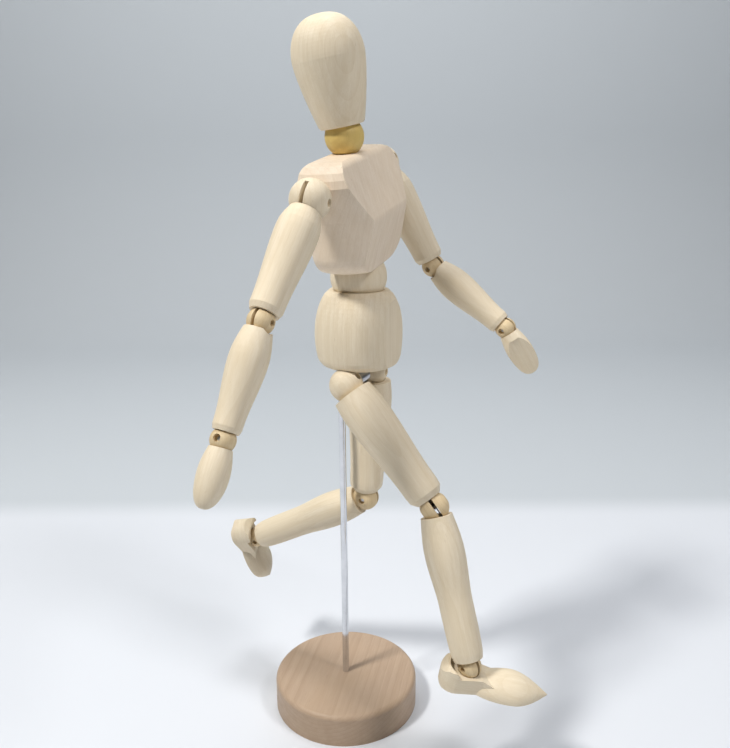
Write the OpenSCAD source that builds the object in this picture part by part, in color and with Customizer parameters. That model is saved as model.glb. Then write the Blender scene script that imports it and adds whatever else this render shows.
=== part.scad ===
/* [Base and rod] */
// Diameter of the turned base disc
base_d = 70; // [62:1:80]
// Thickness of the base disc
base_h = 15.6; // [14:0.1:18]
// Radius of the rounded top edge of the base
base_round = 2.4; // [1:0.1:4]
// Diameter of the steel support rod
rod_d = 3.2; // [2.6:0.1:3.4]
// Depth of the rod's seat in the base
rod_seat = 11; // [6:0.5:12]
// Length of rod inside the pelvis, measured up from the hip line
rod_grip = 24; // [16:0.5:27]
// Distance of the rod behind the hip line
rod_back = 9; // [8.6:0.1:9.6]

/* [Trunk] */
// Height of the hip line above the table
hip_z = 169.8; // [165:0.1:175]
// Greatest radius of the turned pelvis
pelvis_r = 19.6; // [19:0.1:20.5]
// Distance of the pelvis's flat front from the hip line
pelvis_front = 16.2; // [14:0.1:18]
// Distance of the pelvis's flat back from the hip line
pelvis_back = 17.5; // [15:0.1:18.5]
// Radius of the waist ball
waist_r = 12.3; // [12:0.1:12.6]
// Height of the waist ball above the hip line
waist_z = 45.2; // [44.8:0.1:46]
// Height of the shoulder line above the waist ball
shoulder_z = 41.2; // [40.6:0.1:42]
// Greatest radius of the turned chest
chest_r = 28.9; // [28.6:0.1:29.6]
// Radius of the neck ball
neck_r = 8; // [7.8:0.1:8.2]
// Height of the neck ball above the shoulder line
neck_z = 17.3; // [17:0.1:17.8]
// Greatest radius of the turned head
head_r = 14.5; // [13:0.1:16]
// Height of the head's crown above the neck ball
head_top = 46; // [42:0.1:52]

/* [Arms] */
// Half the distance between the shoulder balls
shoulder_x = 35.2; // [35:0.1:35.8]
// Radius of a shoulder ball
shoulder_r = 8.1; // [7.9:0.1:8.3]
// Shoulder ball to elbow ball
upper_arm_len = 51.4; // [48:0.1:58]
// Radius of an elbow ball
elbow_r = 5.2; // [5.1:0.1:5.4]
// Elbow ball to wrist ball
forearm_len = 43.8; // [40:0.1:50]
// Radius of a wrist ball
wrist_r = 4.7; // [4.6:0.1:4.9]
// Length of a hand from the wrist ball
hand_len = 24.4; // [23:0.1:28]
// Greatest radius of a hand
hand_r = 5.8; // [5.6:0.1:6.4]

/* [Legs] */
// Half the distance between the hip balls
hip_x = 14; // [13.6:0.1:14.4]
// Radius of a hip ball
hip_r = 7.4; // [7.2:0.1:7.6]
// Hip ball to knee ball
thigh_len = 63.8; // [60:0.1:70]
// Radius of a knee ball
knee_r = 6.3; // [6.2:0.1:6.5]
// Knee ball to ankle ball
shin_len = 67.7; // [63:0.1:74]
// Radius of an ankle ball
ankle_r = 4.9; // [4.8:0.1:5.1]
// Height of the ankle ball above the sole
foot_h = 9.4; // [9.2:0.1:10.4]
// Reach of the toe ahead of the ankle ball
toe = 35.5; // [33:0.5:40]
// Reach of the heel behind the ankle ball
heel = 12; // [11.8:0.1:13]
// Greatest half width of the fore foot
foot_half_w = 9.6; // [8.5:0.1:10.5]

/* [Steel parts] */
// Radius of a knuckle's cross pin
pin_r = 0.8; // [0.7:0.05:0.9]
// Radius of the hook wire
wire_r = 0.25; // [0.2:0.01:0.27]
// Outer radius of a limb spring
spring_r = 2.0; // [1.8:0.05:2.1]
// Outer radius of the hip spring and the chest's cross spring
cross_spring_r = 2.8; // [2.5:0.05:2.9]
// Distance from one spring coil to the next
coil_pitch = 1.2; // [1:0.1:2]

/* [Pose of the trunk] */
// Turn of the pelvis on the rod
stand_turn = 0; // [-180:0.1:180]
// Turn of the waist ball in the pelvis
waist_turn = -95.5; // [-180:0.1:180]
// Lean of the chest spring over the waist ball's pin
waist_bend = 10.3; // [0:0.1:30]
// Turn of the chest on its spring
chest_turn = 95.6; // [-180:0.1:180]
// Turn of the neck ball in the chest
neck_turn = 0; // [-90:1:90]
// Nod of the head spring over the neck ball's pin
head_nod = -6.3; // [-20:0.1:20]
// Turn of the head on its spring
head_turn = 0; // [-180:0.1:180]

/* [Pose of the right limbs] */
// Right shoulder: swing of the ball, backward positive
r_swing = 8.9; // [-90:0.1:90]
// Right shoulder: raise of the arm outward
r_raise = 47.2; // [0:0.1:80]
// Right elbow: turn of the ball
r_elbow_turn = -98.5; // [-180:0.1:180]
// Right elbow: bend
r_elbow_bend = 7.1; // [-60:0.1:20]
// Right wrist: turn of the ball
r_wrist_turn = -84.8; // [-180:0.1:180]
// Right wrist: bend
r_wrist_bend = 2; // [-50:0.1:20]
// Right hand: turn of the palm on its spring
r_hand_set = -80; // [-180:0.1:180]
// Right hip: swing of the ball, backward positive
r_hip_swing = -41.4; // [-80:0.1:60]
// Right hip: spread of the thigh outward
r_hip_spread = 3.4; // [0:0.1:25]
// Right knee: turn of the ball
r_knee_turn = -60.7; // [-180:0.1:180]
// Right knee: bend
r_knee_bend = 4.1; // [0:0.1:60]
// Right knee: sideways set of the shin on its spring
r_knee_cant = 23.6; // [-24:0.1:24]
// Right ankle: turn of the ball
r_ankle_turn = 42.4; // [-180:0.1:180]
// Right ankle: bend, toe down positive
r_ankle_bend = 31.2; // [-20:0.1:32]
// Right foot: turn on its spring
r_foot_set = 46.8; // [-180:0.1:180]

/* [Pose of the left limbs] */
// Left shoulder: swing of the ball, backward positive
l_swing = -25.2; // [-90:0.1:90]
// Left shoulder: raise of the arm outward
l_raise = -0.5; // [-2:0.1:80]
// Left elbow: turn of the ball
l_elbow_turn = -14.4; // [-180:0.1:180]
// Left elbow: bend
l_elbow_bend = -28.1; // [-60:0.1:20]
// Left wrist: turn of the ball
l_wrist_turn = 3.9; // [-180:0.1:180]
// Left wrist: bend
l_wrist_bend = 19.9; // [-50:0.1:45]
// Left hand: turn of the palm on its spring
l_hand_set = -54; // [-180:0.1:180]
// Left hip: swing of the ball, backward positive
l_hip_swing = 2.8; // [-80:0.1:60]
// Left hip: spread of the thigh outward
l_hip_spread = -1; // [-3:0.1:25]
// Left knee: turn of the ball
l_knee_turn = 3.5; // [-180:0.1:180]
// Left knee: bend
l_knee_bend = 59.5; // [0:0.1:62]
// Left ankle: turn of the ball
l_ankle_turn = 13.5; // [-180:0.1:180]
// Left ankle: bend, toe down positive
l_ankle_bend = 14.7; // [-20:0.1:32]
// Left foot: turn on its spring
l_foot_set = 18.7; // [-180:0.1:180]

/* [Hidden] */

right = -1;
left = 1;
cup_gap = 0.2;       // running gap between a ball and the wood that cups it
bore_gap = 0.2;      // gap between a spring and its bore
pin_gap = 0.06;      // running gap of a hook ring on a pin
hook_off = 0.3;      // offset of each of the two hooks along a pin
pin_recess = 1.8;    // depth of the counterbore over a pin's end
plate_t = 0.6;       // thickness of a spring's closed end
plate_hole = 0.7;    // radius of the hole in a spring's closed end
head_disc_r = 1.0;   // radius of a swivel hook's head
coil_depth = 0.45;   // depth of the groove between two coils
spring_wall = 0.3;   // wall of a spring below its grooves
ring_r = pin_r + pin_gap + wire_r;
wood_pale = "#e6dcc6";
wood_warm = "#dcc9a6";
wood_tan = "#a8906f";
wood_yellow = "#d9c083";
steel = "#c4c8cc";

// smooth step from 0 to 1
function ease(t) = (1 - cos(180 * t)) / 2;

// radius of a turned limb at a share t of its length
function limb_r(t, r) =
  t < r[4] ? r[0] + (r[1] - r[0]) * sin(90 * t / r[4])
  : t < r[5] ? r[1] + (r[2] - r[1]) * ease((t - r[4]) / (r[5] - r[4]))
  : r[3] + (r[2] - r[3]) * sqrt(max(0, 1 - pow((t - r[5]) / (1 - r[5]), 3)));

// half outline of a turned limb between z = top and z = -low
function limb_outline(top, low, r, n = 18) = concat(
  [[0, -top]],
  [for (i = [0:n]) let (t = pow(i / n, 0.85)) [limb_r(t, r), -top - t * (low - top)]],
  [[0, -low]]);

// ---- frames: each places its children at a joint, axes of the posed part ----

module pelvis_frame() {
  rotate([0, 0, stand_turn]) translate([0, -rod_back, hip_z]) children();
}

module waist_frame() {
  pelvis_frame() translate([0, 0, waist_z]) rotate([0, 0, waist_turn]) children();
}

module chest_spring_frame() {
  waist_frame() rotate([waist_bend, 0, 0]) children();
}

module chest_frame() {
  chest_spring_frame() rotate([0, 0, chest_turn]) translate([0, 0, shoulder_z]) children();
}

module neck_frame() {
  chest_frame() translate([0, 0, neck_z]) rotate([0, 0, neck_turn]) children();
}

module head_spring_frame() {
  neck_frame() rotate([head_nod, 0, 0]) children();
}

module head_frame() {
  head_spring_frame() rotate([0, 0, head_turn]) children();
}

module shoulder_frame(side) {
  chest_frame() translate([side * shoulder_x, 0, 0])
    rotate([side == right ? r_swing : l_swing, 0, 0]) children();
}

module upper_arm_frame(side) {
  shoulder_frame(side) rotate([0, -side * (side == right ? r_raise : l_raise), 0]) children();
}

module elbow_frame(side) {
  upper_arm_frame(side) translate([0, 0, -upper_arm_len])
    rotate([0, 0, side == right ? r_elbow_turn : l_elbow_turn]) children();
}

module forearm_frame(side) {
  elbow_frame(side) rotate([side == right ? r_elbow_bend : l_elbow_bend, 0, 0]) children();
}

module wrist_frame(side) {
  forearm_frame(side) translate([0, 0, -forearm_len])
    rotate([0, 0, side == right ? r_wrist_turn : l_wrist_turn]) children();
}

module hand_hook_frame(side) {
  wrist_frame(side) rotate([side == right ? r_wrist_bend : l_wrist_bend, 0, 0]) children();
}

module hand_frame(side) {
  hand_hook_frame(side) rotate([0, 0, side == right ? r_hand_set : l_hand_set]) children();
}

module hip_frame(side) {
  pelvis_frame() translate([side * hip_x, 0, 0])
    rotate([side == right ? r_hip_swing : l_hip_swing, 0, 0]) children();
}

module thigh_frame(side) {
  hip_frame(side) rotate([0, -side * (side == right ? r_hip_spread : l_hip_spread), 0])
    children();
}

module knee_frame(side) {
  thigh_frame(side) translate([0, 0, -thigh_len])
    rotate([0, 0, side == right ? r_knee_turn : l_knee_turn]) children();
}

module shin_hook_frame(side) {
  knee_frame(side) rotate([side == right ? r_knee_bend : l_knee_bend, 0, 0]) children();
}

module shin_frame(side) {
  shin_hook_frame(side) rotate([0, shin_cant(side), 0]) children();
}

module ankle_frame(side) {
  shin_frame(side) translate([0, 0, -shin_len])
    rotate([0, 0, side == right ? r_ankle_turn : l_ankle_turn]) children();
}

module foot_hook_frame(side) {
  ankle_frame(side) rotate([side == right ? r_ankle_bend : l_ankle_bend, 0, 0]) children();
}

module foot_frame(side) {
  foot_hook_frame(side) rotate([0, 0, side == right ? r_foot_set : l_foot_set]) children();
}

function shin_cant(side) = side == right ? r_knee_cant : 0;

// ---- steel parts ----

// round bar between two points
module bar(p, q, r) {
  d = q - p;
  l = norm(d);
  translate(p) rotate([0, acos(d[2] / l), atan2(d[1], d[0])]) cylinder(r = r, h = l, $fn = 16);
}

// closed coil spring along +Z from 0 to len, its near end closed by a holed plate
module coil_spring(len, r, plate = true) {
  n = max(1, round(len / coil_pitch));
  p = len / n;
  inner = r - coil_depth - spring_wall;
  rotate_extrude($fn = 24) {
    polygon(concat(
      [[inner, 0]],
      [for (i = [0:n - 1]) each [[r - coil_depth, i * p], [r, (i + 0.5) * p]]],
      [[r - coil_depth, len], [inner, len]]));
    if (plate) translate([plate_hole, 0]) square([inner - plate_hole + 0.1, plate_t]);
  }
}

// wire ring round a pin that lies along X
module hook_ring(ring) {
  rotate([0, 90, 0]) rotate_extrude($fn = 24) translate([ring, 0]) circle(r = wire_r, $fn = 12);
}

// cross pin along X with the swivel hook that leaves the ball of radius r toward +Z
module pin_and_hook(r) {
  reach = r + 1.2;
  ring = pin_r + wire_r - 0.06;
  color(steel) {
    rotate([0, 90, 0]) cylinder(r = pin_r, h = 2 * (r - pin_recess), center = true, $fn = 24);
    translate([-hook_off, 0, 0]) hook_ring(ring);
    translate([-hook_off, 0, ring]) cylinder(r = wire_r, h = reach - ring + 0.1, $fn = 16);
    translate([0, 0, reach]) cylinder(r = head_disc_r, h = plate_t, $fn = 24);
  }
}

// hook ring on a pin along X, its leg running down -Z to z = -reach
module down_hook(reach) {
  translate([hook_off, 0, 0]) hook_ring(ring_r);
  translate([hook_off, 0, -reach]) cylinder(r = wire_r, h = reach - ring_r, $fn = 16);
}

// cross bar that closes the top of a spring at height z
module end_bar(z, r) {
  translate([0, 0, z]) rotate([0, 90, 0])
    cylinder(r = wire_r, h = 2 * (r - coil_depth - 0.1), center = true, $fn = 16);
}

// spring of a limb: hooked on the upper ball, holed plate over the lower ball
module limb_spring(len, top_r, low_r, across = false) {
  start = top_r + 1.5;
  stop = len - low_r - 0.5;
  color(steel) {
    rotate([0, 0, across ? 90 : 0]) down_hook(start + 0.3);
    end_bar(-start - 0.2, spring_r);
    translate([0, 0, -stop]) coil_spring(stop - start, spring_r);
  }
}

// short spring of a hand or foot held by a pin across its far end
module end_spring(r, len) {
  start = r + 1;
  color(steel) {
    down_hook(start + 0.3);
    end_bar(-start - 0.2, spring_r);
    translate([0, 0, -start - len]) coil_spring(len, spring_r, plate = false);
    end_bar(-start - len + 0.3, spring_r);
  }
}

// ---- wooden parts ----

// flat slice across X between two angles about the pin, with room for the hooks
module slot_cut(r, w, from, to) {
  reach = 1.6 * r;
  n = ceil((to - from) / 45);
  rotate([90, 0, 90]) linear_extrude(w, center = true) {
    circle(r = ring_r + wire_r + 0.35, $fn = 32);
    polygon(concat([[0, 0]],
      [for (i = [0:n]) let (a = from + (to - from) * i / n) reach * [cos(a), sin(a)]]));
  }
}

// slotted ball with a cross pin along X; the slot runs from the +Z side round over -Y
module knuckle(r, slot_w, pin_d, to) {
  difference() {
    sphere(r = r, $fn = 64);
    slot_cut(r, slot_w, 76, to);
    rotate([0, 90, 0]) cylinder(r = pin_r, h = 2 * r, center = true, $fn = 24);
    for (s = [-1, 1])
      translate([s * (r - pin_recess), 0, 0]) rotate([0, s * 90, 0])
        cylinder(d = pin_d, h = r, $fn = 32);
  }
}

// turned limb from one ball down to the next, bored for its spring
module turned_limb(len, top_ball, top_cut, low_ball, low_cut, radii) {
  difference() {
    rotate_extrude($fn = 72) polygon(limb_outline(top_cut, len - low_cut, radii));
    sphere(r = top_ball + cup_gap, $fn = 64);
    translate([0, 0, -len]) sphere(r = low_ball + cup_gap, $fn = 64);
    translate([0, 0, -len]) cylinder(r = spring_r + bore_gap, h = len, $fn = 32);
  }
}

module base_disc() {
  color(wood_tan) difference() {
    rotate_extrude($fn = 96) {
      square([base_d / 2 - base_round, base_h]);
      square([base_d / 2, base_h - base_round]);
      translate([base_d / 2 - base_round, base_h - base_round]) circle(r = base_round, $fn = 48);
    }
    translate([0, 0, base_h - rod_seat]) cylinder(d = rod_d, h = base_h, $fn = 32);
  }
}

module support_rod() {
  low = base_h - rod_seat;
  color(steel) translate([0, 0, low]) cylinder(d = rod_d, h = hip_z + rod_grip - low, $fn = 32);
}

// half outline of the turned pelvis
module pelvis_outline() {
  top = waist_z - 5.6;
  low = 6;
  n = 16;
  function r_at(z) = z > 20
    ? 13 + (pelvis_r - 13) * pow(1 - pow((z - 20) / (top - 20), 2), 0.7)
    : pelvis_r - 1.1 * pow((20 - z) / 10, 2);
  polygon(concat(
    [[0, low], [14.5, low], [16.6, low + 1], [17.9, low + 2.6]],
    [for (i = [0:n]) let (z = 10 + (top - 10) * i / n) [r_at(z), z]],
    [[0, top]]));
}

module pelvis_block() {
  color(wood_pale) pelvis_frame() difference() {
    intersection() {
      rotate_extrude($fn = 96) pelvis_outline();
      translate([-30, -pelvis_front, 0]) cube([60, pelvis_front + pelvis_back, 60]);
    }
    translate([0, 0, waist_z]) sphere(r = waist_r + cup_gap, $fn = 96);
    for (s = [right, left])
      translate([s * hip_x, 0, 0]) sphere(r = hip_r + cup_gap, $fn = 64);
    cylinder(r = spring_r + bore_gap, h = waist_z, $fn = 32);
    translate([0, rod_back, 0]) cylinder(r = rod_d / 2 + 0.05, h = rod_grip + 1, $fn = 32);
  }
}

// cross spring along X between two balls, each end closed by a holed plate
module cross_spring(half) {
  rotate([0, 90, 0])
    for (s = [0, 180]) rotate([s, 0, 0]) translate([0, 0, -half])
      coil_spring(half, cross_spring_r);
}

// spring from the cross spring up to a ball, its plate at height top
module upright_spring(top) {
  start = cross_spring_r - 0.6;
  translate([0, 0, top]) rotate([180, 0, 0]) coil_spring(top - start, spring_r);
}

// cross spring seen between the hip balls, and the spine spring that hooks on it
module hip_spine_spring() {
  color(steel) pelvis_frame() {
    cross_spring(hip_x - hip_r - 0.5);
    upright_spring(waist_z - waist_r - 0.5);
  }
}

// ball slotted only near its top, drilled below for the hook
module bored_ball(r, slot_w, spread) {
  difference() {
    sphere(r = r, $fn = 96);
    slot_cut(r, slot_w, 90 - spread, 90 + spread);
    translate([0, 0, -r]) cylinder(r = 0.9, h = r, $fn = 24);
    rotate([0, 90, 0]) cylinder(r = pin_r, h = 2 * (r - 3), center = true, $fn = 24);
  }
}

module waist_ball() {
  color(wood_pale) waist_frame() bored_ball(waist_r, 1.9, 44);
}

// cross pin of the waist ball with the hook that holds it to the spine spring
module waist_pin() {
  waist_frame() rotate([180, 0, 0]) inner_pin(waist_r);
}

// pin and swivel hook that stay inside an uncut ball
module inner_pin(r) {
  ring = pin_r + wire_r - 0.06;
  color(steel) {
    rotate([0, 90, 0]) cylinder(r = pin_r, h = 2 * (r - 3), center = true, $fn = 24);
    translate([-hook_off, 0, 0]) hook_ring(ring);
    translate([-hook_off, 0, ring]) cylinder(r = wire_r, h = r + 1.3 - ring, $fn = 16);
    translate([0, 0, r + 1.2]) cylinder(r = head_disc_r, h = plate_t, $fn = 24);
  }
}

// spring in the chest: hooked on the waist ball's pin, held by a bar at its top
module chest_spring() {
  start = waist_r + 1;
  stop = shoulder_z - cross_spring_r - 0.6;
  color(steel) chest_spring_frame() rotate([180, 0, 0]) {
    down_hook(start + 0.3);
    end_bar(-start - 0.2, spring_r);
    translate([0, 0, -stop]) coil_spring(stop - start, spring_r, plate = false);
  }
}

// half outline of the turned chest, height above the shoulder line
module chest_outline() {
  n = 10;
  low = -35.6;
  polygon(concat(
    [[0, low], [13, low]],
    [for (i = [1:n]) let (a = 90 * i / n) [13 + 11.2 * sin(a), -26 - 9.6 * cos(a)]],
    [[24.5, -18], [25.2, -12], [26.6, -6.5], [27.9, -2], [chest_r, 2], [chest_r - 0.5, 5],
     [chest_r - 1.8, 7.6], [chest_r - 4, 9.6], [chest_r - 7.5, 10.8], [0, 11.2]]));
}

// side outline of the chest: two flats in front, gently rounded back
module chest_side() {
  offset(r = 4.5, $fn = 48) offset(delta = -4.5)
    polygon([[-8.4, 11.2], [-17.9, -12.8], [-13.9, -25.6], [-10.4, -38], [7.5, -38],
      [9.4, -22], [9.9, -10], [9.6, 1], [8.3, 11.2]]);
}

module chest_block() {
  color(wood_pale) chest_frame() difference() {
    intersection() {
      rotate_extrude($fn = 96) chest_outline();
      rotate([90, 0, 90]) linear_extrude(64, center = true) chest_side();
    }
    translate([0, 0, -shoulder_z]) sphere(r = waist_r + cup_gap, $fn = 96);
    translate([0, 0, neck_z]) sphere(r = neck_r + cup_gap, $fn = 64);
    for (s = [right, left])
      translate([s * shoulder_x, 0, 0]) sphere(r = shoulder_r + cup_gap, $fn = 64);
    rotate([0, 90, 0]) cylinder(r = cross_spring_r + bore_gap, h = 64, center = true, $fn = 32);
    translate([0, 0, -shoulder_z])
      cylinder(r = spring_r + bore_gap, h = shoulder_z + neck_z, $fn = 32);
  }
}

// cross spring of the shoulders with the short neck spring that hooks on it
module shoulder_neck_spring() {
  color(steel) chest_frame() {
    cross_spring(shoulder_x - shoulder_r - 0.5);
    upright_spring(neck_z - neck_r - 0.5);
  }
}

// neck ball with its hidden pin and the hook that holds it to the chest
module neck_ball() {
  neck_frame() {
    color(wood_yellow) bored_ball(neck_r, 1.7, 38);
    rotate([180, 0, 0]) inner_pin(neck_r);
  }
}

module head_spring() {
  head_spring_frame() rotate([180, 0, 0]) end_spring(neck_r, 24);
}

// half outline of the turned head
module head_outline() {
  n = 16;
  low = 4.2;
  wide = low + 0.62 * (head_top - low);
  polygon(concat(
    [[0, low], [8.8, low], [9.4, low + 0.7]],
    [for (i = [1:8]) let (t = i / 8)
      [9.4 + (head_r - 9.4) * (1 - pow(1 - t, 1.4)), low + 0.7 + (wide - low - 0.7) * t]],
    [for (i = [1:n]) let (a = 90 * i / n)
      [i < n ? head_r * pow(cos(a), 0.8) : 0, wide + (head_top - wide) * sin(a)]]));
}

module head() {
  color(wood_pale) head_frame() difference() {
    rotate_extrude($fn = 96) head_outline();
    sphere(r = neck_r + cup_gap, $fn = 72);
    cylinder(r = spring_r + bore_gap, h = neck_r + 27, $fn = 32);
  }
}

// shoulder and hip knuckles: pin along Y, hooks leave toward the trunk and downward
module side_knuckle(side, r, slot_w, pin_d, from, to) {
  difference() {
    sphere(r = r, $fn = 64);
    rotate([0, 0, 90 * side]) slot_cut(r, slot_w, from, to);
    rotate([90, 0, 0]) cylinder(r = pin_r, h = 2 * r, center = true, $fn = 24);
    for (s = [-1, 1])
      translate([0, s * (r - pin_recess), 0]) rotate([-s * 90, 0, 0])
        cylinder(d = pin_d, h = r, $fn = 32);
  }
}

// pin along Y with its swivel hook toward the trunk
module side_pin(side, r) {
  rotate([0, -90 * side, 0]) rotate([0, 0, 90]) pin_and_hook(r);
}

module shoulder_ball(side) {
  color(wood_pale) shoulder_frame(side) side_knuckle(side, shoulder_r, 1.7, 3.2, 110, 375);
}

module shoulder_pin(side) {
  shoulder_frame(side) side_pin(side, shoulder_r);
}

module upper_arm(side) {
  color(wood_pale) upper_arm_frame(side)
    turned_limb(upper_arm_len, shoulder_r, 5.0, elbow_r, 3.2, [6.0, 8.4, 6.5, 5.6, 0.21, 0.95]);
}

module upper_arm_spring(side) {
  upper_arm_frame(side) limb_spring(upper_arm_len, shoulder_r, elbow_r, across = true);
}

module elbow_ball(side) {
  color(wood_warm) elbow_frame(side) knuckle(elbow_r, 1.4, 2.6, 292);
}

module elbow_pin(side) {
  elbow_frame(side) pin_and_hook(elbow_r);
}

module forearm(side) {
  color(wood_pale) forearm_frame(side) difference() {
    turned_limb(forearm_len, elbow_r, 3.2, wrist_r, 2.9, [5.4, 7.3, 5.35, 4.8, 0.3, 0.95]);
    rotate([0, 90, 0]) cylinder(r = 4.5, h = 20, center = true, $fn = 48);
  }
}

module forearm_spring(side) {
  forearm_frame(side) limb_spring(forearm_len, elbow_r, wrist_r);
}

module wrist_ball(side) {
  color(wood_warm) wrist_frame(side) knuckle(wrist_r, 1.3, 2.8, 315);
}

module wrist_pin(side) {
  wrist_frame(side) pin_and_hook(wrist_r);
}

module hand(side) {
  n = 14;
  mid = 12;
  color(wood_pale) hand_frame(side) difference() {
    rotate_extrude($fn = 72) polygon(concat(
      [[0, -2.9], [4.3, -2.9]],
      [for (i = [1:6]) let (t = i / 6) [4.3 + (hand_r - 4.3) * sin(90 * t), -2.9
        - (mid - 2.9) * t]],
      [for (i = [1:n]) let (a = 90 * i / n) [hand_r * pow(cos(a), 0.75) * (i < n ? 1 : 0),
        -mid - (hand_len - mid) * sin(a)]]));
    sphere(r = wrist_r + cup_gap, $fn = 64);
    translate([0, -4.6, -6]) rotate([18, 0, 0]) translate([-10, -20, -30]) cube([20, 20, 30]);
    translate([0, 0, -11.4]) cylinder(r = spring_r + bore_gap, h = 11.4, $fn = 32);
  }
}

module hand_spring(side) {
  hand_hook_frame(side) end_spring(wrist_r, 5);
}

module hip_ball(side) {
  color(wood_pale) hip_frame(side) side_knuckle(side, hip_r, 1.7, 3.2, 235, 375);
}

module hip_pin(side) {
  hip_frame(side) side_pin(side, hip_r);
}

module thigh(side) {
  color(wood_pale) thigh_frame(side)
    turned_limb(thigh_len, hip_r, 4.6, knee_r, 3.9, [9.0, 9.9, 8.0, 5.75, 0.18, 0.875]);
}

module thigh_spring(side) {
  thigh_frame(side) limb_spring(thigh_len, hip_r, knee_r, across = true);
}

module knee_ball(side) {
  color(wood_warm) knee_frame(side) knuckle(knee_r, 1.5, 3.0, 348);
}

module knee_pin(side) {
  knee_frame(side) pin_and_hook(knee_r);
}

module shin(side) {
  color(wood_pale) shin_frame(side) difference() {
    turned_limb(shin_len, knee_r, 3.9, ankle_r, 3.0, [6.8, 8.6, 7.2, 6.2, 0.26, 0.62]);
    translate([0, 0, -10]) cylinder(r1 = spring_r + bore_gap, r2 = 3.6, h = 5, $fn = 32);
  }
}

// spring of the shin; its hook stays in the slot's plane when the shin is canted
module shin_spring(side) {
  start = knee_r + 2.8;
  stop = shin_len - ankle_r - 0.5;
  c = shin_cant(side);
  knee_exit = [hook_off, 0, -knee_r + 0.4];
  color(steel) {
    shin_hook_frame(side) {
      down_hook(knee_r - 0.3);
      bar(knee_exit, [-start * sin(c), 0, -start * cos(c) - 0.2], wire_r);
    }
    shin_frame(side) {
      end_bar(-start - 0.2, spring_r);
      translate([0, 0, -stop]) coil_spring(stop - start, spring_r);
    }
  }
}

module ankle_ball(side) {
  color(wood_warm) ankle_frame(side) knuckle(ankle_r, 1.3, 2.4, 318);
}

module ankle_pin(side) {
  ankle_frame(side) pin_and_hook(ankle_r);
}

// plan of the foot: round heel, narrower waist
module foot_plan() {
  heel_w = 0.7 * foot_half_w;
  waist_w = 0.58 * foot_half_w;
  hull() {
    translate([0, heel - heel_w]) circle(r = heel_w, $fn = 48);
    translate([0, -6]) circle(r = waist_w, $fn = 48);
  }
  hull() {
    translate([0, -6]) circle(r = waist_w, $fn = 48);
    translate([0, -18]) circle(r = 0.75 * foot_half_w, $fn = 48);
  }
}

// side of the foot behind the toes: heel as high as the ball, low instep
module foot_side() {
  offset(r = 1.6, $fn = 24) offset(delta = -1.6)
    polygon([[heel, -foot_h], [heel, -2.2], [heel - 3, 0.3], [6, 0.3], [3, -2.4], [-5, -2.4],
      [-12, -5.2], [-19, -7.4], [-23, -foot_h]]);
}

// half outline of the fore foot from the ankle line to the pointed toe, greatest radius 1
module fore_foot_outline() {
  wide = 0.52;
  n = 12;
  polygon(concat(
    [for (i = [0:n]) let (a = 90 * i / n) [sin(a), toe * wide * (1 - cos(a))]],
    [for (i = [1:n]) let (t = i / n) [i < n ? cos(90 * t) : 0, toe * (wide + (1 - wide) * t)]]));
}

module foot(side) {
  dome_h = 0.78 * foot_h;
  color(wood_pale) foot_frame(side) difference() {
    union() {
      intersection() {
        translate([0, 0, -foot_h]) scale([foot_half_w, 1, dome_h]) rotate([90, 0, 0])
          rotate_extrude($fn = 72) fore_foot_outline();
        translate([-20, -60, -foot_h]) cube([40, 100, 30]);
      }
      intersection() {
        translate([0, 0, -foot_h]) linear_extrude(20) foot_plan();
        rotate([90, 0, 90]) linear_extrude(30, center = true) foot_side();
      }
    }
    sphere(r = ankle_r + cup_gap, $fn = 64);
    intersection() {
      sphere(r = 8.2, $fn = 64);
      translate([-10, -10, -2.4]) cube([20, 20, 20]);
    }
    translate([0, 0, 0.8 - foot_h]) cylinder(r = spring_r + bore_gap, h = foot_h, $fn = 32);
  }
}

module foot_spring(side) {
  foot_hook_frame(side) end_spring(ankle_r, 1.8);
}

base_disc();
support_rod();
pelvis_block();
hip_spine_spring();
waist_ball();
waist_pin();
chest_spring();
chest_block();
shoulder_neck_spring();
neck_ball();
head_spring();
head();
shoulder_ball(right);  // right_shoulder_ball
shoulder_pin(right);  // right_shoulder_pin
upper_arm(right);  // right_upper_arm
upper_arm_spring(right);  // right_upper_arm_spring
elbow_ball(right);  // right_elbow_ball
elbow_pin(right);  // right_elbow_pin
forearm(right);  // right_forearm
forearm_spring(right);  // right_forearm_spring
wrist_ball(right);  // right_wrist_ball
wrist_pin(right);  // right_wrist_pin
hand(right);  // right_hand
hand_spring(right);  // right_hand_spring
shoulder_ball(left);  // left_shoulder_ball
shoulder_pin(left);  // left_shoulder_pin
upper_arm(left);  // left_upper_arm
upper_arm_spring(left);  // left_upper_arm_spring
elbow_ball(left);  // left_elbow_ball
elbow_pin(left);  // left_elbow_pin
forearm(left);  // left_forearm
forearm_spring(left);  // left_forearm_spring
wrist_ball(left);  // left_wrist_ball
wrist_pin(left);  // left_wrist_pin
hand(left);  // left_hand
hand_spring(left);  // left_hand_spring
hip_ball(right);  // right_hip_ball
hip_pin(right);  // right_hip_pin
thigh(right);  // right_thigh
thigh_spring(right);  // right_thigh_spring
knee_ball(right);  // right_knee_ball
knee_pin(right);  // right_knee_pin
shin(right);  // right_shin
shin_spring(right);  // right_shin_spring
ankle_ball(right);  // right_ankle_ball
ankle_pin(right);  // right_ankle_pin
foot(right);  // right_foot
foot_spring(right);  // right_foot_spring
hip_ball(left);  // left_hip_ball
hip_pin(left);  // left_hip_pin
thigh(left);  // left_thigh
thigh_spring(left);  // left_thigh_spring
knee_ball(left);  // left_knee_ball
knee_pin(left);  // left_knee_pin
shin(left);  // left_shin
shin_spring(left);  // left_shin_spring
ankle_ball(left);  // left_ankle_ball
ankle_pin(left);  // left_ankle_pin
foot(left);  // left_foot
foot_spring(left);  // left_foot_spring
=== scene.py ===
import math

import bmesh
import bpy
import numpy as np
from mathutils import Matrix, Vector

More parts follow.
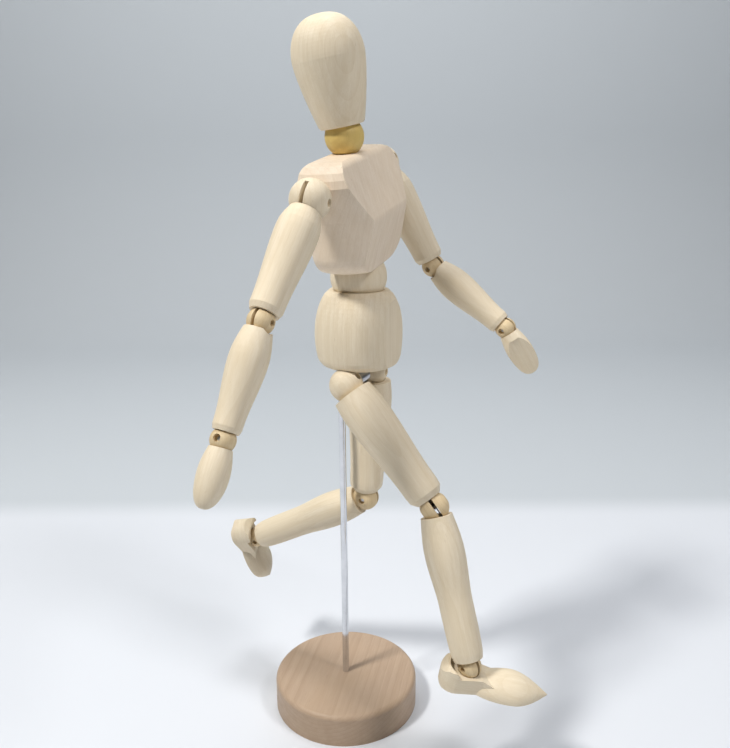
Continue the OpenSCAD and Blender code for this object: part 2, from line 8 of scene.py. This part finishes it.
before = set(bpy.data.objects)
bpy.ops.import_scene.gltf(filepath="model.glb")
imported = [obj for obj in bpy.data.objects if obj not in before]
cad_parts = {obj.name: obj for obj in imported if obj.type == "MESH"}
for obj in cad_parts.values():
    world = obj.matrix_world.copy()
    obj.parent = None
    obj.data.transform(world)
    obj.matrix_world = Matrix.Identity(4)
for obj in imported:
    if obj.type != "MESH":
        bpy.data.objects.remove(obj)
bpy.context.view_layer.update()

# the camera looks at a point on the figure's middle, from its front right
TARGET = Vector((0.00431, -0.00975, 0.17026))
CAMERA_DISTANCE = 0.35227
CAMERA_TURN = math.radians(-66.14)   # direction of the picture's right edge, about Z
CAMERA_PITCH = math.radians(15.28)   # down
CAMERA_ROLL = math.radians(-0.43)
LENS = 37.54                         # mm, on a sensor 36 mm along the picture's long side

FLOOR_EDGE = 0.226   # from the figure to where the pale floor turns to the greyer backdrop
COVE_START = 0.75    # from the figure to the foot of the backdrop's curve
COVE_RADIUS = 0.30
BACKDROP_TOP = 1.6
STAGE_HALF_WIDTH = 2.5
STAGE_FRONT = 2.0    # how far the floor reaches in front of the figure
COVE_STEPS = 12
EDGE_SOFTNESS = 0.02

GRAIN_RING = 0.0021      # distance between growth rings
TREE_OFFSET = 0.045      # from a piece's axis to the middle of its tree


def linear(*rgb):
    """An sRGB colour from 0 to 255 as linear RGBA."""
    def one(v):
        v /= 255
        return v / 12.92 if v <= 0.04045 else ((v + 0.055) / 1.055) ** 2.4
    return tuple(one(v) for v in rgb) + (1.0,)


# ---- materials ----

def new_material(name):
    mat = bpy.data.materials.new(name)
    mat.use_nodes = True
    tree = mat.node_tree
    tree.nodes.clear()
    out = tree.nodes.new("ShaderNodeOutputMaterial")
    shader = tree.nodes.new("ShaderNodeBsdfPrincipled")
    tree.links.new(shader.outputs["BSDF"], out.inputs["Surface"])
    return mat, tree, shader


def add(tree, kind, **values):
    """A node with its settings and unlinked inputs set."""
    node = tree.nodes.new(kind)
    for key, value in values.items():
        if key in node.inputs:
            node.inputs[key].default_value = value
        else:
            setattr(node, key, value)
    return node


def ramp(tree, source, stops):
    node = tree.nodes.new("ShaderNodeValToRGB")
    while len(node.color_ramp.elements) < len(stops):
        node.color_ramp.elements.new(0.5)
    for element, (place, colour) in zip(node.color_ramp.elements, stops):
        element.position = place
        element.color = colour
    tree.links.new(source, node.inputs["Fac"])
    return node.outputs["Color"]


def mix(tree, factor, a, b):
    """The mix of two colours; factor, a and b are sockets or values."""
    node = tree.nodes.new("ShaderNodeMix")
    node.data_type = "RGBA"
    for index, value in ((0, factor), (6, a), (7, b)):
        if hasattr(value, "is_output"):
            tree.links.new(value, node.inputs[index])
        else:
            node.inputs[index].default_value = value
    return node.outputs[2]


def local_place(tree, turn, origin, stretch):
    """Object coordinates turned so that Z runs along the piece's own axis, plain and stretched."""
    coords = tree.nodes.new("ShaderNodeTexCoord")
    shift = add(tree, "ShaderNodeMapping", vector_type="POINT")
    shift.inputs["Location"].default_value = tuple(-v for v in origin)
    tree.links.new(coords.outputs["Object"], shift.inputs["Vector"])
    aim = add(tree, "ShaderNodeMapping", vector_type="POINT")
    aim.inputs["Rotation"].default_value = turn.to_euler("XYZ")
    tree.links.new(shift.outputs["Vector"], aim.inputs["Vector"])
    size = add(tree, "ShaderNodeMapping", vector_type="POINT")
    size.inputs["Scale"].default_value = stretch
    tree.links.new(aim.outputs["Vector"], size.inputs["Vector"])
    return aim.outputs["Vector"], size.outputs["Vector"]


def grey(value):
    return (value, value, value, 1.0)


def scaled(tree, mask, amount):
    """A mask times a constant."""
    node = add(tree, "ShaderNodeMath", operation="MULTIPLY")
    tree.links.new(mask, node.inputs[0])
    node.inputs[1].default_value = amount
    return node.outputs[0]


def wood(name, pale, dark, pore, axis, origin, seed, rough, ring_strength):
    """Fine sanded turned wood, its grain along axis."""
    mat, tree, shader = new_material(name)
    turn = axis.rotation_difference(Vector((0, 0, 1))).to_matrix()
    plain, streaky = local_place(tree, turn, origin, (1.0, 1.0, 0.055))
    link = tree.links.new

    # growth rings: the tree's middle lies to one side of the piece
    off = add(tree, "ShaderNodeMapping")
    angle = 2.4 * seed      # each piece is cut from another place in the tree
    off.inputs["Location"].default_value = (
        TREE_OFFSET * math.cos(angle), TREE_OFFSET * math.sin(angle), 0.013 * seed)
    off.inputs["Scale"].default_value = (1.0, 1.0, 0.16)
    link(plain, off.inputs["Vector"])
    rings = add(tree, "ShaderNodeTexWave", wave_type="RINGS", rings_direction="Z",
                wave_profile="SAW", Scale=2 * math.pi / (20 * GRAIN_RING), Distortion=1.6,
                Detail=3.0)
    rings.inputs["Detail Scale"].default_value = 0.35
    rings.inputs["Detail Roughness"].default_value = 0.55
    link(off.outputs["Vector"], rings.inputs["Vector"])

    fibres = add(tree, "ShaderNodeTexNoise", Scale=2600.0, Detail=4.0, Roughness=0.62)
    link(streaky, fibres.inputs["Vector"])
    bands = add(tree, "ShaderNodeTexNoise", Scale=300.0, Detail=3.0, Roughness=0.5)
    link(streaky, bands.inputs["Vector"])
    clouds = add(tree, "ShaderNodeTexNoise", Scale=48.0, Detail=2.0, Roughness=0.5)
    link(plain, clouds.inputs["Vector"])
    specks = add(tree, "ShaderNodeTexNoise", Scale=1300.0, Detail=2.0, Roughness=0.5)
    short = add(tree, "ShaderNodeMapping")
    short.inputs["Scale"].default_value = (1.0, 1.0, 0.16)
    link(plain, short.inputs["Vector"])
    link(short.outputs["Vector"], specks.inputs["Vector"])

    ring_mask = ramp(tree, rings.outputs["Fac"],
                     [(0.0, grey(0.0)), (0.72, grey(0.25)), (1.0, grey(1.0))])
    fibre_mask = ramp(tree, fibres.outputs["Fac"], [(0.36, grey(1.0)), (0.62, grey(0.0))])
    band_mask = ramp(tree, bands.outputs["Fac"], [(0.3, grey(0.0)), (0.7, grey(1.0))])
    speck_mask = ramp(tree, specks.outputs["Fac"], [(0.70, grey(0.0)), (0.80, grey(1.0))])
    cloud_mask = ramp(tree, clouds.outputs["Fac"], [(0.3, grey(0.0)), (0.72, grey(1.0))])

    colour = mix(tree, scaled(tree, band_mask, 0.45), pale, dark)
    colour = mix(tree, scaled(tree, ring_mask, ring_strength * 0.6), colour, dark)
    colour = mix(tree, scaled(tree, fibre_mask, 0.30), colour, dark)
    colour = mix(tree, scaled(tree, speck_mask, 0.30), colour, pore)
    warm = tuple(c * k for c, k in zip(pale, (1.0, 0.96, 0.88))) + (1.0,)
    colour = mix(tree, scaled(tree, cloud_mask, 0.45), colour, warm)
    link(colour, shader.inputs["Base Color"])

    gloss = add(tree, "ShaderNodeMapRange")
    link(bands.outputs["Fac"], gloss.inputs["Value"])
    gloss.inputs["To Min"].default_value = rough - 0.09
    gloss.inputs["To Max"].default_value = rough + 0.12
    link(gloss.outputs["Result"], shader.inputs["Roughness"])
    shader.inputs["Specular IOR Level"].default_value = 0.35

    fine = add(tree, "ShaderNodeBump", Strength=0.16, Distance=0.00012)
    link(fibres.outputs["Fac"], fine.inputs["Height"])
    pores = add(tree, "ShaderNodeBump", Strength=0.25, Distance=0.00008, invert=True)
    link(speck_mask, pores.inputs["Height"])
    link(fine.outputs["Normal"], pores.inputs["Normal"])
    link(pores.outputs["Normal"], shader.inputs["Normal"])
    return mat


def metal(name, colour, rough, streak, dull):
    """Drawn steel with fine scratches along Z and a little handling haze."""
    mat, tree, shader = new_material(name)
    plain, fine = local_place(tree, Matrix.Identity(3), (0, 0, 0), (1.0, 1.0, 0.03))
    link = tree.links.new
    scratches = add(tree, "ShaderNodeTexNoise", Scale=5200.0, Detail=3.0, Roughness=0.6)
    link(fine, scratches.inputs["Vector"])
    haze = add(tree, "ShaderNodeTexNoise", Scale=160.0, Detail=3.0, Roughness=0.6)
    link(plain, haze.inputs["Vector"])
    shade = ramp(tree, haze.outputs["Fac"], [(0.3, colour), (0.75, dull)])
    link(shade, shader.inputs["Base Color"])
    shader.inputs["Metallic"].default_value = 1.0
    gloss = add(tree, "ShaderNodeMapRange")
    link(haze.outputs["Fac"], gloss.inputs["Value"])
    gloss.inputs["To Min"].default_value = max(0.03, rough - streak)
    gloss.inputs["To Max"].default_value = rough + streak
    link(gloss.outputs["Result"], shader.inputs["Roughness"])
    bump = add(tree, "ShaderNodeBump", Strength=0.05, Distance=0.00003)
    link(scratches.outputs["Fac"], bump.inputs["Height"])
    link(bump.outputs["Normal"], shader.inputs["Normal"])
    return mat


WOODS = {
    # slot: lit colour, grain colour, pore colour, roughness, ring strength
    "wood_pale": (linear(233, 221, 199), linear(206, 186, 150), linear(150, 120, 82), 0.60, 0.5),
    "wood_warm": (linear(224, 205, 170), linear(190, 162, 116), linear(136, 102, 62), 0.60, 0.6),
    "wood_yellow": (linear(222, 196, 122), linear(196, 164, 92), linear(140, 108, 58), 0.50, 0.5),
    "wood_tan": (linear(188, 165, 142), linear(160, 135, 112), linear(112, 88, 68), 0.46, 0.8),
}
CHEST_TINT = (linear(236, 221, 202), linear(212, 191, 163))   # the chest's wood is pinker


def wood_slot(node):
    """The material slot of a wooden node."""
    if node == "base_disc":
        return "wood_tan"
    if node == "neck_ball":
        return "wood_yellow"
    if node.split("_", 1)[-1] in ("elbow_ball", "wrist_ball", "knee_ball", "ankle_ball"):
        return "wood_warm"
    return "wood_pale"


def axis_and_middle(obj, node):
    """The direction a turned piece's grain runs in, and its middle."""
    points = np.empty(len(obj.data.vertices) * 3)
    obj.data.vertices.foreach_get("co", points)
    points = points.reshape(-1, 3)
    middle = (points.min(axis=0) + points.max(axis=0)) / 2
    if node == "base_disc":
        return Vector((1, 0.2, 0)).normalized(), middle   # cut from a flat board
    if node in ("chest_block", "pelvis_block", "head", "waist_ball", "neck_ball"):
        return Vector((0, 0, 1)), middle
    spread = np.cov((points - points.mean(axis=0)).T)
    values, vectors = np.linalg.eigh(spread)
    axis = Vector(vectors[:, int(np.argmax(values))])
    if axis.z < 0:
        axis.negate()
    return axis, middle


STEEL = metal("spring_steel", linear(196, 198, 200), 0.30, 0.08, linear(170, 171, 174))
CHROME = metal("rod_steel", linear(226, 227, 230), 0.10, 0.04, linear(206, 208, 212))


def set_material(obj, material):
    obj.data.materials.clear()
    obj.data.materials.append(material)


for number, (node, obj) in enumerate(sorted(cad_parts.items())):
    if node.endswith("_pin") or node.endswith("_spring"):
        set_material(obj, STEEL)
        continue
    if node == "support_rod":
        set_material(obj, CHROME)
        continue
    slot = wood_slot(node)
    pale, dark, pore, rough, rings = WOODS[slot]
    if node == "chest_block":
        pale, dark = CHEST_TINT
    axis, middle = axis_and_middle(obj, node)
    set_material(obj, wood("%s_%s" % (slot, node), pale, dark, pore, axis, middle, number,
                           rough, rings))


# ---- floor and backdrop ----

forward = Vector((-math.sin(CAMERA_TURN), math.cos(CAMERA_TURN), 0))   # from camera to figure
across = Vector((math.cos(CAMERA_TURN), math.sin(CAMERA_TURN), 0))


def backdrop():
    """One sheet: the floor, a curve, then a wall behind the figure."""
    steps = [(-STAGE_FRONT, 0.0), (0.0, 0.0), (COVE_START, 0.0)]
    for i in range(1, COVE_STEPS + 1):
        a = math.radians(90 * i / COVE_STEPS)
        steps.append((COVE_START + COVE_RADIUS * math.sin(a), COVE_RADIUS * (1 - math.cos(a))))
    steps.append((COVE_START + COVE_RADIUS, BACKDROP_TOP))
    mesh = bmesh.new()
    previous = None
    for distance, height in steps:
        line = [mesh.verts.new(forward * distance + across * side * STAGE_HALF_WIDTH
                               + Vector((0, 0, height))) for side in (-1, 1)]
        if previous:
            mesh.faces.new((previous[0], previous[1], line[1], line[0]))
        previous = line
    data = bpy.data.meshes.new("backdrop")
    mesh.to_mesh(data)
    mesh.free()
    for polygon in data.polygons:
        polygon.use_smooth = True
    obj = bpy.data.objects.new("backdrop", data)
    bpy.context.scene.collection.objects.link(obj)
    return obj


def backdrop_material():
    mat, tree, shader = new_material("backdrop")
    link = tree.links.new
    coords = tree.nodes.new("ShaderNodeTexCoord")
    aim = add(tree, "ShaderNodeMapping", vector_type="POINT")
    aim.inputs["Rotation"].default_value = (0, 0, -math.atan2(forward.y, forward.x))
    link(coords.outputs["Object"], aim.inputs["Vector"])
    split = tree.nodes.new("ShaderNodeSeparateXYZ")
    link(aim.outputs["Vector"], split.inputs["Vector"])
    near = add(tree, "ShaderNodeMapRange", interpolation_type="SMOOTHSTEP")
    near.inputs["From Min"].default_value = FLOOR_EDGE - EDGE_SOFTNESS
    near.inputs["From Max"].default_value = FLOOR_EDGE + EDGE_SOFTNESS
    link(split.outputs["X"], near.inputs["Value"])
    colour = mix(tree, near.outputs["Result"], linear(219, 222, 227), linear(198, 203, 207))
    link(colour, shader.inputs["Base Color"])
    shader.inputs["Roughness"].default_value = 0.85
    shader.inputs["Specular IOR Level"].default_value = 0.1
    return mat


floor = backdrop()
set_material(floor, backdrop_material())


# ---- lights and camera ----

def area_light(name, place, size, power, colour=(1, 1, 1), target=TARGET):
    data = bpy.data.lights.new(name, "AREA")
    data.shape = "SQUARE"
    data.size = size
    data.energy = power
    data.color = colour
    obj = bpy.data.objects.new(name, data)
    obj.location = place
    obj.rotation_mode = "QUATERNION"
    obj.rotation_quaternion = (target - Vector(place)).to_track_quat("-Z", "Y")
    bpy.context.scene.collection.objects.link(obj)


up = Vector((0, 0, 1))
area_light("key", -forward * 0.35 - across * 0.55 + up * 1.05, 0.16, 9.5, (1.0, 0.985, 0.96))
area_light("second", -forward * 0.45 + across * 0.60 + up * 0.95, 0.22, 4.2, (1.0, 0.98, 0.985))
area_light("wall", forward * 0.25 + up * 1.45, 0.5, 9.0, (0.97, 0.985, 1.0),
           forward * (COVE_START + COVE_RADIUS) + up * 0.45)

world = bpy.data.worlds.new("studio")
world.use_nodes = True


def room(tree):
    """A light room behind the figure and overhead, and a darker one in front of it."""
    link = tree.links.new
    coords = tree.nodes.new("ShaderNodeTexCoord")
    facing = add(tree, "ShaderNodeVectorMath", operation="DOT_PRODUCT")
    link(coords.outputs["Generated"], facing.inputs[0])
    facing.inputs[1].default_value = tuple(forward * 0.8 + up * 0.6)
    shade = ramp(tree, facing.outputs["Value"],
                 [(0.0, (0.10, 0.105, 0.11, 1)), (0.35, (0.42, 0.44, 0.46, 1)),
                  (1.0, (0.85, 0.88, 0.92, 1))])
    link(shade, tree.nodes["Background"].inputs["Color"])
    tree.nodes["Background"].inputs["Strength"].default_value = 0.42


room(world.node_tree)
bpy.context.scene.world = world
bpy.context.scene.view_settings.view_transform = "Standard"

camera = bpy.data.cameras.new("camera")
camera.sensor_fit = "AUTO"
camera.sensor_width = 36.0
camera.lens = LENS
camera.clip_start = 0.01
camera.clip_end = 20.0
eye = bpy.data.objects.new("camera", camera)
bpy.context.scene.collection.objects.link(eye)
look = forward * math.cos(CAMERA_PITCH) - up * math.sin(CAMERA_PITCH)
above = forward * math.sin(CAMERA_PITCH) + up * math.cos(CAMERA_PITCH)
right = across * math.cos(CAMERA_ROLL) + above * math.sin(CAMERA_ROLL)
top = right.cross(look)
eye.matrix_world = Matrix.Translation(TARGET - look * CAMERA_DISTANCE) @ Matrix(
    (right, top, -look)).transposed().to_4x4()
bpy.context.scene.camera = eye
